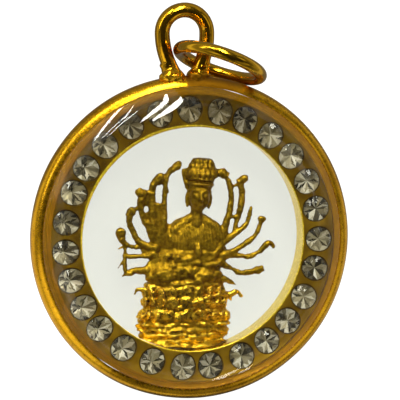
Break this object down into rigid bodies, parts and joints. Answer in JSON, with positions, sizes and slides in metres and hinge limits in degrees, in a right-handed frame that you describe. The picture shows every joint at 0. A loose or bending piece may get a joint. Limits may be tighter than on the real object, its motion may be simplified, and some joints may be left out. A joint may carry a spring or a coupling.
{
  "type": "guanyin amulet pendant",
  "caption": "Round cased amulet pendant with a seated many-armed figure in a clear window, a ring of cut stones, a gold rim with a wire bail loop, and a jump ring.",
  "frame": {"origin": "middle of the flat back of the clear back cover, which is what the pendant rests on", "axes": "+Z out of the front, +Y towards the bail loop, +X to the viewer's right"},
  "size_m": [0.03, 0.0368, 0.0089],
  "materials": {
    "gilt_rim": "polished, worn",
    "gilt_ring": "polished",
    "clear_acrylic": "clear, glossy",
    "matte_gilt": "fine matte",
    "cast_gilt": "satin, aged",
    "clear_stone": "cut, foil-backed"
  },
  "bodies": {
    "root": {"rim": "gilt_rim", "jump_ring": "gilt_ring", "front_cover": "clear_acrylic", "back_cover": "clear_acrylic", "stone_plate": "matte_gilt", "figure": "cast_gilt", "stone_01": "clear_stone", "stone_02": "clear_stone", "stone_03": "clear_stone", "stone_04": "clear_stone", "stone_05": "clear_stone", "stone_06": "clear_stone", "stone_07": "clear_stone", "stone_08": "clear_stone", "stone_09": "clear_stone", "stone_10": "clear_stone", "stone_11": "clear_stone", "stone_12": "clear_stone", "stone_13": "clear_stone", "stone_14": "clear_stone", "stone_15": "clear_stone", "stone_16": "clear_stone", "stone_17": "clear_stone", "stone_18": "clear_stone", "stone_19": "clear_stone", "stone_20": "clear_stone", "stone_21": "clear_stone", "stone_22": "clear_stone", "stone_23": "clear_stone", "stone_24": "clear_stone", "stone_25": "clear_stone", "stone_26": "clear_stone", "stone_27": "clear_stone"}
  },
  "joints": []
}
